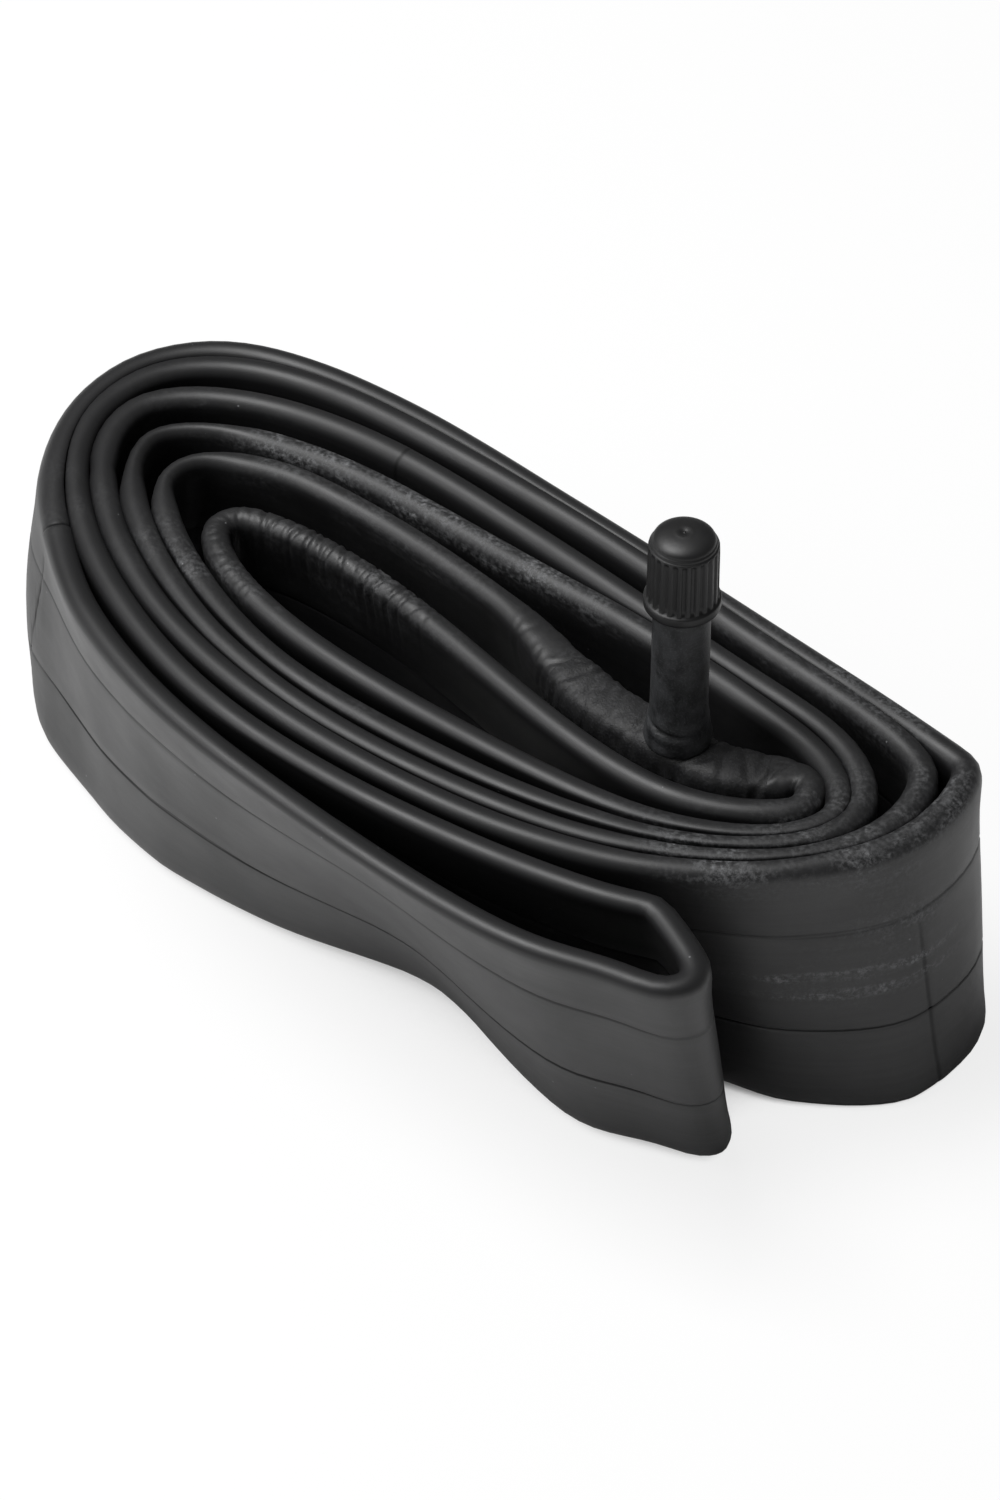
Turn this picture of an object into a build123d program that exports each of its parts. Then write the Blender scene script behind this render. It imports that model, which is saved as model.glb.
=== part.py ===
"""Bicycle inner tube with a rubber-covered car-type valve, put up for storage:
emptied, pressed flat, doubled over, rolled up and stood on its edge, valve up.
Millimetres, +Z up, origin under the middle of the roll at the surface it stands on."""

import os
from math import ceil, cos, radians, sin, sqrt, tan

from build123d import *

# ---- tube, pressed flat -----------------------------------------------------------
flat_width = 46.0  # flat width, which is the height of the roll
wall = 0.9  # butyl wall
trapped_air = 1.0  # space left between the two walls
flat_thickness = 2 * wall + trapped_air
edge_bevel = 1.05  # the flat tube's folded edges, each made of three flats
pad_thickness = 0.9  # reinforcing pad on the tube, round the valve
pad_bevel = edge_bevel + (2 - sqrt(2)) * pad_thickness  # keeps the pad even on the bevel

# ---- roll, seen from above ----------------------------------------------------------
strand_gap = 1.1  # between one strand of the roll and the next
strand_pitch = flat_thickness + strand_gap
band_pitch = 2 * strand_pitch  # the doubled tube adds this much per turn
fold_share = 0.45  # most of a side's length that one bend may take
bend_step = 12.5  # degrees, most that one flat of a bend turns by

# A side of the roll is (facing, reach, spread, bend, lean, narrowing): the way it faces in
# degrees, how far the middle of the doubled tube lies from the middle of the roll, how far
# apart its two strands are, the radius of the bend that follows it, how much less the reach
# is at the lower edge than at the upper one, and how much closer the strands are there.
right_reach, near_left_reach = 60.0, 44.0
near_right_reach = right_reach / 2 - 1.5  # moves along with the right-hand end
loose = 3.1  # the strands stand this much further apart in the heart of the roll
inner_sides = [
    (119.0, band_pitch + loose - near_right_reach - 0.3, strand_pitch + loose, 12.0, -1.25, 2.5),
    (80.6, 6.65, strand_pitch + 1.5 * loose, 7.0, -1.5, 3.0),
    (150.0, 40.1, strand_pitch + 2.5 * loose, 9.0, -1.5, 0.0),
    (215.0, near_left_reach - band_pitch - loose / 2, strand_pitch + loose, 14.0, 0.5, 0.0),
]
inner_fold_facing, inner_fold_reach = 29.0, right_reach - band_pitch - 3.1
# One full turn: facing, reach and bend in the innermost turn, the slack by which each
# further turn stands off more than the rubber needs, the lean, and what a turn adds to it.
turn_sides = [
    (255.0, 16.0, 60.0, 0.0, 5.0, 0.8),
    (272.0, 14.5, 35.0, 2.2, 7.4, 2.8),
    (300.0, near_right_reach, 8.4, 0.0, 3.2, 0.8),
    (370.0, right_reach, 7.9, 1.3, -2.9, -1.6),
    (443.0, 21.4, 13.8, 2.7, 0.0, 0.0),
    (510.0, 57.6, 15.0, 3.5, -1.0, -2.4),
    (575.0, near_left_reach, 27.8, 1.0, -0.3, -0.4),
]
side_count = 16  # sides that follow the pattern of the turn
tail_side = (1005.0, 43.0, strand_pitch + loose, 60.0, 12.4, 0.0)
outer_fold_reach = 53.0

# ---- valve --------------------------------------------------------------------------
valve_along = 5.0  # from the bend beside the valve to the valve, along the strand
pad_before = 7.5  # from that bend, how far the pad reaches back towards the inner fold
pad_beyond = 22.0  # from the valve, how far it reaches along the strand
pad_drop = 9.0  # how far the pad reaches down both faces of the tube
air_hole = 2.0  # through the foot, the pad and the tube's wall

foot_diameter = 10.0  # moulded foot of the rubber jacket
foot_sink = 2.2  # how far the foot reaches down past the top of the pad
foot_edge = 0.8  # upright edge of the foot, above the top of the pad
flare_waist = (4.25, 2.2)  # radius and height where the flare steepens
foot_rise = 4.6  # foot and flare, above the top of the pad
foot_floor = 1.5  # rubber under the brass stem
jacket_diameter = 8.0
jacket_wall = 0.9
jacket_length = 22.35  # above the top of the pad
jacket_lip = 0.5

thread_diameter = 7.7  # standard car-type valve thread
thread_length = 9.15  # bare threaded tip above the jacket
tip_chamfer = 0.5

# ---- dust cap -----------------------------------------------------------------------
cap_diameter = 9.8
cap_skirt_gap = 0.4  # from the jacket's end to the mouth of the cap
cap_running_fit = 0.05  # radial, on the thread
cap_mouth_chamfer = 0.4
cap_collar_height = 1.1
cap_collar_step = 0.35
cap_neck_height = 0.8
cap_neck_step = 0.7
cap_dome_height = 2.8
cap_dome_flat = 0.9  # radius of the flat on top of the dome
rib_count = 24
rib_groove = 1.0  # across the square cutter that leaves each groove
seal_thickness = 0.9
seal_side_gap = 0.1
seal_face_gap = 0.05

# ---- valve core ---------------------------------------------------------------------
core_bore = 5.3
core_bore_depth = 9.3
seat_length = 1.4  # tapered seat for the core's gasket
chamber_bore = 3.9
chamber_depth = 20.0
core_fit = 0.05  # radial, plug in its bore
plug_recess = 0.6
plug_length = 4.2
plug_bore = 2.2
tongue_width, tongue_height = 2.0, 1.4
barrel_diameter = 3.4
barrel_length = 7.4
barrel_wall = 0.4
barrel_floor = 0.8
pin_diameter = 1.0
pin_recess = 0.2
pin_guide_gap = 0.15  # radial
pin_tail = 0.2  # riveted end below the cup
collar_diameter, collar_thickness = 2.3, 0.6
collar_clearance = 0.3  # below the plug
spring_wire = 0.3
spring_turns = 5
spring_side_gap = 0.15  # radial, in the barrel
cup_diameter = 3.0
cup_length = 1.5
cup_rim = 0.3
cup_seal_thickness = 0.7
cup_seal_stand = 0.2  # the seal stands this far out of its cup
press_gap = 0.05  # between fixed and moving core pieces at rest

# ---- places worked out from the sizes -------------------------------------------------
pad_top = flat_width + pad_thickness
insert_bottom = pad_top + foot_floor
jacket_top = pad_top + jacket_length
tip = jacket_top + thread_length
insert_radius = jacket_diameter / 2 - jacket_wall
cap_mouth = jacket_top + cap_skirt_gap
seal_bottom = tip + seal_face_gap
seal_top = seal_bottom + seal_thickness
cap_top = seal_top + cap_dome_height
bore_radius = thread_diameter / 2 + cap_running_fit


def corner(side, following, strand):
    """Where two sides of one strand meet; strand is +1 for the outer, -1 for the inner."""
    a, b = radians(side[0]), radians(following[0])
    reach_a = side[1] + strand * side[2] / 2
    reach_b = following[1] + strand * following[2] / 2
    across = sin(b - a)
    return Vector(
        (reach_a * sin(b) - reach_b * sin(a)) / across,
        (reach_b * cos(a) - reach_a * cos(b)) / across,
    )


def roll_sides(depth):
    """The sides of the doubled tube from the inner fold to the outer one, at a depth below
    the upper edge."""
    rows = list(inner_sides)
    for k in range(side_count):
        turns, place = divmod(k, len(turn_sides))
        facing, reach, bend, slack, lean, more_lean = turn_sides[place]
        growth = turns * (band_pitch + slack)
        rows.append((
            facing + 360 * turns, reach + growth, strand_pitch, bend + turns * band_pitch,
            lean + turns * more_lean, 0.0,
        ))
    rows.append(tail_side)
    share = depth / flat_width
    return [
        (facing, reach - share * lean, spread - share * narrowing, bend)
        for facing, reach, spread, bend, lean, narrowing in rows
    ]


def loop_at(depth):
    """The corners of the closed loop, in order, and the bend radius wanted at each."""
    sides = roll_sides(depth)
    inner_fold = (inner_fold_facing, inner_fold_reach, 0, 0)
    outer_fold = (tail_side[0] + 90, outer_fold_reach, 0, 0)
    pairs = list(zip([inner_fold, *sides], [*sides, outer_fold]))
    corners, bends = [], []
    for strand in (1, -1):
        points = [corner(a, b, strand) for a, b in pairs]
        at_top = roll_sides(0.0)[:-1]
        wanted = [band_pitch, *[side[3] + strand * side[2] / 2 for side in at_top], band_pitch]
        corners += points[::strand]
        bends += wanted[::strand]
    return corners, bends


def fitted(corners, wanted):
    """The wanted radii, each no larger than its two sides leave room for."""
    radii = []
    for k, here in enumerate(corners):
        back = corners[k - 1] - here
        on = corners[(k + 1) % len(corners)] - here
        half_turn = radians(180 - back.get_angle(on)) / 2
        room = fold_share * min(back.length, on.length) / tan(half_turn)
        radii.append(min(wanted[k], room))
    return radii


def bend_flats(before, here, after, radius):
    """The ends of the short flats that round off the corner at the middle of three points."""
    back, on = (here - before).normalized(), (after - here).normalized()
    turn = radians(back.get_angle(on))
    to_middle = Vector(-back.Y, back.X) * (1 if back.cross(on).Z > 0 else -1)
    start = here - back * radius * tan(turn / 2)
    flats = ceil(turn / radians(bend_step))
    return [
        start + back * radius * sin(angle) + to_middle * radius * (1 - cos(angle))
        for angle in [turn * k / flats for k in range(flats + 1)]
    ]


def centre_line(height):
    """The middle between the tube's walls at a height."""
    corners, bends = loop_at(flat_width - height)
    points = []
    for k, radius in enumerate(fitted(corners, bends)):
        points += bend_flats(corners[k - 1], corners[k], corners[(k + 1) % len(corners)], radius)
    return points


def ring(height, stand_off, middle=Vector()):
    """The closed line at a height and a distance outside the middle between the walls.
    Its lines keep their directions from ring to ring, so the faces between them are flat."""
    points = centre_line(height)
    moved = []
    for k, here in enumerate(points):
        back = (here - points[k - 1]).normalized()
        on = (points[(k + 1) % len(points)] - here).normalized()
        along = (back + on).normalized()
        outward = Vector(along.Y, -along.X) / along.dot(back)
        moved.append(here + outward * stand_off + Vector(0, 0, height) - middle)
    return moved


# the middle of the roll's box becomes the origin
edge_points = [
    point
    for height in (edge_bevel, flat_width - edge_bevel)
    for point in ring(height, flat_thickness / 2)
]
across_x, across_y = [point.X for point in edge_points], [point.Y for point in edge_points]
middle = Vector((min(across_x) + max(across_x)) / 2, (min(across_y) + max(across_y)) / 2)
loop_corners, loop_bends = loop_at(0.0)
loop_radii = fitted(loop_corners, loop_bends)
loop_corners = [point - middle for point in loop_corners]


# the valve stands on the outer strand, just past the bend that follows the inner fold
leg_start, leg_bend, leg_end = loop_corners[0:3]
along_leg = (leg_end - leg_bend).normalized()
valve_at = leg_bend + along_leg * valve_along
valve_plane = Plane(origin=valve_at, x_dir=along_leg, z_dir=(0, 0, 1))
valve_section = Plane(origin=valve_at, x_dir=along_leg, z_dir=along_leg.rotate(Axis.Z, -90))
valve_axis = Axis(valve_at, (0, 0, 1))


half_up = Vector(0, 0, flat_width / 2)


def across(path):
    """The plane square to the start of a path, with its x axis pointing up."""
    wire = path.wires()[0]
    return Plane(origin=wire @ 0, x_dir=(0, 0, 1), z_dir=wire % 0)


def flat_section(height, thickness, bevel, mode=Mode.ADD):
    """The outline of the pressed-flat tube, or of what is laid round it."""
    top, shoulder = height / 2, height / 2 - bevel
    wide, narrow = thickness / 2, thickness / 2 - bevel
    Polygon(
        (top, narrow), (shoulder, wide), (-shoulder, wide), (-top, narrow),
        (-top, -narrow), (-shoulder, -wide), (shoulder, -wide), (top, -narrow),
        mode=mode,
    )


def turned(*outline):
    """A solid of revolution on the valve's axis from (radius, height) points."""
    with BuildPart() as part:
        with BuildSketch(valve_section):
            with BuildLine():
                Polyline(*outline, close=True)
            make_face()
        revolve(axis=valve_axis)
    return part


def hose(*levels):
    """A closed hose of flat faces between rings at (height, stand-off) levels."""
    rings = [ring(*level, middle) for level in levels]
    return Solid(Shell([
        Face(Wire.make_polygon([low[k - 1], low[k], high[k], high[k - 1]]))
        for low, high in zip(rings, rings[1:] + rings[:1])
        for k in range(len(low))
    ]))


# ---- tube ---------------------------------------------------------------------------
# Its section follows one closed loop, which leans where the roll does.
half_thick, half_air = flat_thickness / 2, trapped_air / 2
low_edge, high_edge = edge_bevel, flat_width - edge_bevel
with BuildPart() as air_space:
    add(hose(
        (wall, half_air), (flat_width - wall, half_air),
        (flat_width - wall, -half_air), (wall, -half_air),
    ))

with BuildPart() as tube_body:
    add(hose(
        (0, half_thick - edge_bevel), (low_edge, half_thick),
        (high_edge, half_thick), (flat_width, half_thick - edge_bevel),
        (flat_width, edge_bevel - half_thick), (high_edge, -half_thick),
        (low_edge, -half_thick), (0, edge_bevel - half_thick),
    ))
    add(air_space.part, mode=Mode.SUBTRACT)
    with BuildSketch(valve_plane.offset(flat_width - 2 * wall)):
        Circle(air_hole / 2)
    extrude(amount=2 * wall, mode=Mode.SUBTRACT)
tube_body.part.label = "tube_body"

# ---- reinforcing pad, draped over the tube's edge ---------------------------------------
along_first_leg = (leg_start - leg_bend).normalized()
pad_points = [
    leg_bend + along_first_leg * pad_before,
    *bend_flats(leg_start, leg_bend, leg_end, loop_radii[1]),
    valve_at + along_leg * pad_beyond,
]
with BuildLine() as pad_run:
    Polyline(*[point + half_up for point in pad_points])

with BuildPart() as valve_pad:
    with BuildSketch(across(pad_run)):
        flat_section(flat_width + 2 * pad_thickness, flat_thickness + 2 * pad_thickness, pad_bevel)
        flat_section(flat_width, flat_thickness, edge_bevel, Mode.SUBTRACT)
        with Locations((-pad_drop, 0)):
            Rectangle(flat_width, 2 * flat_width, mode=Mode.SUBTRACT)
    sweep(path=pad_run.wires()[0], transition=Transition.RIGHT)
    with BuildSketch(valve_plane.offset(flat_width - wall)):
        Circle(air_hole / 2)
    extrude(amount=wall + 2 * pad_thickness, mode=Mode.SUBTRACT)
valve_pad.part.label = "valve_pad"

# the whole space inside the pad's outer face, to seat the foot on
with BuildPart() as pad_envelope:
    with BuildSketch(across(pad_run)):
        flat_section(flat_width + 2 * pad_thickness, flat_thickness + 2 * pad_thickness, pad_bevel)
    sweep(path=pad_run.wires()[0], transition=Transition.RIGHT)

# ---- rubber jacket with its moulded foot ------------------------------------------------
jacket_radius = jacket_diameter / 2
foot_radius = foot_diameter / 2
with BuildPart() as stem_jacket:
    with BuildSketch(valve_section):
        with BuildLine():
            Polyline(
                (0, jacket_top),
                (jacket_radius - jacket_lip, jacket_top),
                (jacket_radius, jacket_top - jacket_lip),
                (jacket_radius, pad_top + foot_rise),
                (flare_waist[0], pad_top + flare_waist[1]),
                (foot_radius, pad_top + foot_edge),
                (foot_radius, pad_top - foot_sink),
                (0, pad_top - foot_sink),
                close=True,
            )
        make_face()
    revolve(axis=valve_axis)
    add(pad_envelope.part, mode=Mode.SUBTRACT)
    with BuildSketch(valve_plane.offset(insert_bottom)):
        Circle(insert_radius)
    extrude(amount=jacket_length, mode=Mode.SUBTRACT)
    with BuildSketch(valve_plane.offset(flat_width)):
        Circle(air_hole / 2)
    extrude(amount=insert_bottom - flat_width, mode=Mode.SUBTRACT)
stem_jacket.part.label = "stem_jacket"

# ---- brass stem ---------------------------------------------------------------------------
thread_radius = thread_diameter / 2
core_radius = core_bore / 2
chamber_radius = chamber_bore / 2
seat_top = tip - core_bore_depth
seat_bottom = seat_top - seat_length
chamber_bottom = tip - chamber_depth
stem_insert = turned(
    (air_hole / 2, insert_bottom),
    (insert_radius, insert_bottom),
    (insert_radius, jacket_top),
    (thread_radius, jacket_top),
    (thread_radius, tip - tip_chamfer),
    (thread_radius - tip_chamfer, tip),
    (core_radius, tip),
    (core_radius, seat_top),
    (chamber_radius, seat_bottom),
    (chamber_radius, chamber_bottom),
    (air_hole / 2, chamber_bottom),
)
stem_insert.part.label = "stem_insert"

# ---- valve core, fixed pieces -----------------------------------------------------------
plug_radius = core_radius - core_fit
plug_top = tip - plug_recess
plug_bottom = plug_top - plug_length
plug_shoulder = plug_top - tongue_height
with BuildPart() as core_plug:
    with BuildSketch(valve_plane.offset(plug_bottom)):
        Circle(plug_radius)
    extrude(amount=plug_shoulder - plug_bottom)
    with BuildSketch(valve_plane.offset(plug_shoulder)):
        Circle(plug_radius)
        Rectangle(2 * plug_radius, tongue_width, mode=Mode.INTERSECT)
    extrude(amount=tongue_height)
    with BuildSketch(valve_plane.offset(plug_bottom)):
        Circle(plug_bore / 2)
    extrude(amount=plug_length, mode=Mode.SUBTRACT)
core_plug.part.label = "core_plug"

barrel_radius = barrel_diameter / 2
barrel_bottom = plug_bottom - barrel_length
spring_seat = barrel_bottom + barrel_floor
pin_radius = pin_diameter / 2
guide_radius = pin_radius + pin_guide_gap
core_barrel = turned(
    (guide_radius, barrel_bottom),
    (barrel_radius, barrel_bottom),
    (barrel_radius, plug_bottom),
    (barrel_radius - barrel_wall, plug_bottom),
    (barrel_radius - barrel_wall, spring_seat),
    (guide_radius, spring_seat),
)
core_barrel.part.label = "core_barrel"

barrel_gasket = turned(
    (barrel_radius, seat_bottom),
    (chamber_radius, seat_bottom),
    (core_radius, seat_top),
    (barrel_radius, seat_top),
)
barrel_gasket.part.label = "barrel_gasket"

# ---- valve core, moving pieces ----------------------------------------------------------
collar_top = plug_bottom - collar_clearance
collar_bottom = collar_top - collar_thickness
seal_face = barrel_bottom - press_gap
cup_top = seal_face - cup_seal_stand
cup_bottom = cup_top - cup_length
cup_floor = seal_face - cup_seal_thickness
cup_radius = cup_diameter / 2
core_pin = turned(
    (0, cup_bottom - pin_tail),
    (pin_radius, cup_bottom - pin_tail),
    (pin_radius, collar_bottom),
    (collar_diameter / 2, collar_bottom),
    (collar_diameter / 2, collar_top),
    (pin_radius, collar_top),
    (pin_radius, tip - pin_recess),
    (0, tip - pin_recess),
)
core_pin.part.label = "core_pin"

core_cup = turned(
    (pin_radius, cup_bottom),
    (cup_radius, cup_bottom),
    (cup_radius, cup_top),
    (cup_radius - cup_rim, cup_top),
    (cup_radius - cup_rim, cup_floor),
    (pin_radius, cup_floor),
)
core_cup.part.label = "core_cup"

cup_seal = turned(
    (pin_radius, cup_floor),
    (cup_radius - cup_rim, cup_floor),
    (cup_radius - cup_rim, seal_face),
    (pin_radius, seal_face),
)
cup_seal.part.label = "cup_seal"

# the spring's wire ends lie half a wire inside its two seats' faces
coil_radius = barrel_radius - barrel_wall - spring_side_gap - spring_wire / 2
coil_height = collar_bottom - spring_seat - spring_wire
coil_start = Plane(origin=valve_at + Vector(0, 0, spring_seat + spring_wire / 2), x_dir=along_leg)
with BuildPart() as core_spring:
    with BuildLine(coil_start):
        coil = Helix(pitch=coil_height / spring_turns, height=coil_height, radius=coil_radius)
    with BuildSketch(Plane(origin=coil @ 0, z_dir=coil % 0)):
        Rectangle(spring_wire, spring_wire)
    sweep(path=coil)
core_spring.part.label = "core_spring"

# ---- dust cap and its seal ---------------------------------------------------------------
seal_radius = bore_radius - seal_side_gap
cap_seal = turned((0, seal_bottom), (seal_radius, seal_bottom), (seal_radius, seal_top), (0, seal_top))
cap_seal.part.label = "cap_seal"

cap_radius = cap_diameter / 2
collar_radius = cap_radius - cap_collar_step
neck_radius = cap_radius - cap_neck_step
ribs_bottom = cap_mouth + cap_collar_height
ribs_top = cap_top - cap_dome_height - cap_neck_height
with BuildPart() as dust_cap:
    with BuildSketch(valve_section):
        with BuildLine():
            body = Polyline(
                (0, seal_top),
                (bore_radius, seal_top),
                (bore_radius, cap_mouth + cap_mouth_chamfer),
                (bore_radius + cap_mouth_chamfer, cap_mouth),
                (collar_radius, cap_mouth),
                (collar_radius, ribs_bottom),
                (cap_radius, ribs_bottom + cap_collar_step),
                (cap_radius, ribs_top - cap_neck_step),
                (neck_radius, ribs_top),
                (neck_radius, ribs_top + cap_neck_height),
            )
            dome = Polyline(
                body @ 1,
                *[
                    (
                        cap_dome_flat + (neck_radius - cap_dome_flat) * cos(radians(angle)),
                        cap_top - cap_dome_height * (1 - sin(radians(angle))),
                    )
                    for angle in (30, 60, 90)
                ],
            )
            Polyline(dome @ 1, (0, cap_top), (0, seal_top))
        make_face()
    revolve(axis=valve_axis)
    with BuildSketch(valve_plane.offset(ribs_bottom)):
        with PolarLocations(cap_radius + rib_groove / 4, rib_count):
            RegularPolygon(rib_groove / 2, 4)
    extrude(amount=ribs_top - ribs_bottom, mode=Mode.SUBTRACT)
dust_cap.part.label = "dust_cap"

pieces = [
    tube_body, valve_pad, stem_jacket, stem_insert, core_plug, core_barrel, barrel_gasket,
    core_pin, core_cup, cup_seal, core_spring, dust_cap, cap_seal,
]
os.makedirs("parts", exist_ok=True)
for piece in pieces:
    export_step(piece.part, f"parts/{piece.part.label}.step")
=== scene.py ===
import math
import random

import bmesh
import bpy
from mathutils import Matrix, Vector, kdtree, noise


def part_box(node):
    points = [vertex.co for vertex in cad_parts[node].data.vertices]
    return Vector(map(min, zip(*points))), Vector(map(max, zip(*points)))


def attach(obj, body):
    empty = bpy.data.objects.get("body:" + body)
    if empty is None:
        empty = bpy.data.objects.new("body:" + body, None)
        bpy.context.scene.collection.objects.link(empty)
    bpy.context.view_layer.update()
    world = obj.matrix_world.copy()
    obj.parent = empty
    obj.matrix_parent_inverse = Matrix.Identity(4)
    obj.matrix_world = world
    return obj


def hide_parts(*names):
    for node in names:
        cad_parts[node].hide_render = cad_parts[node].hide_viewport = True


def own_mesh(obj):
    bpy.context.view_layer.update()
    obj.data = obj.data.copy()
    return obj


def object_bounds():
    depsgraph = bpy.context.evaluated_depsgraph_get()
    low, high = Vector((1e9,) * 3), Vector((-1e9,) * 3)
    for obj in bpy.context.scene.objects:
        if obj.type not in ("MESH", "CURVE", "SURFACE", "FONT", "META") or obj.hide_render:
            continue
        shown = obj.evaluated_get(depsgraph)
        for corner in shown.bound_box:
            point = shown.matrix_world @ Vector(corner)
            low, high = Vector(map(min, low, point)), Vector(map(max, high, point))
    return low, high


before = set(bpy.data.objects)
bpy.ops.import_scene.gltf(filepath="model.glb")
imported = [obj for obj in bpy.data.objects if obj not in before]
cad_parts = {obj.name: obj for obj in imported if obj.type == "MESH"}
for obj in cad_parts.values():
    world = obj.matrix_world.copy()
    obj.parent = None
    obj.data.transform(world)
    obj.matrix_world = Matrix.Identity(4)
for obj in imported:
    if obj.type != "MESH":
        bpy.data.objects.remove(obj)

cadLow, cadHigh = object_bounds()
mm = 0.001
scene = bpy.context.scene
floorHeight = cadLow.z


def linear(hexColour):
    # sRGB hex to the linear colour that Blender's sockets take
    parts = [int(hexColour[i:i + 2], 16) / 255 for i in (1, 3, 5)]
    return tuple(p / 12.92 if p <= 0.04045 else ((p + 0.055) / 1.055) ** 2.4 for p in parts) + (1,)


def addNode(tree, kind, settings=None, **links):
    # one node with its properties, socket values and links; a link is a socket of another node
    node = tree.nodes.new(kind)
    for name, value in (settings or {}).items():
        if hasattr(node, name):
            setattr(node, name, value)
        else:
            node.inputs[name].default_value = value
    for name, source in links.items():
        tree.links.new(source, node.inputs[name.replace("_", " ")])
    return node


def newMaterial(name):
    material = bpy.data.materials.new(name)
    material.use_nodes = True
    tree = material.node_tree
    tree.nodes.clear()
    shader = tree.nodes.new("ShaderNodeBsdfPrincipled")
    output = tree.nodes.new("ShaderNodeOutputMaterial")
    tree.links.new(shader.outputs[0], output.inputs[0])
    return material, tree, shader


def smoothstep(low, high, value):
    t = min(1, max(0, (value - low) / (high - low)))
    return t * t * (3 - 2 * t)


def interpolate(table, value):
    # straight-line reading of a short (place, amount) table
    if value <= table[0][0]:
        return table[0][1]
    for (a, va), (b, vb) in zip(table, table[1:]):
        if value <= b:
            return va + (vb - va) * (value - a) / (b - a)
    return table[-1][1]


# The rubber tube, mm.
tube = {
    "shift": (-0.01, 8.14),  # from the points below to the part's own origin
    "topHeight": 45.7,
    "width": 46.0,
    "bead": 1.98,  # half thickness just under the folded edges
    "straightStep": 2.1,  # between stations
    "bendStep": 0.1,  # of the bend's radius
    "leastStep": 0.55,  # in bends
    "gatherStep": 0.3,
    "spliceStep": 0.3,
    "least": 0.62,  # half thickness where the strands press together
    "clearance": 0.05,
    "fill": 0.93,  # how much of the room between strands a wall takes up
    "openFill": 2.1,  # the same where the edge is opened out, over its neighbours
    "openRoom": 1.2,  # the least room there
    "openSink": 0.25,  # how much lower the edge lies there
    "lineDeep": 0.13,  # depth of the mould lines
    "lineSpan": 4.5,  # how far round a mould line the rows wander with it
}

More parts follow.
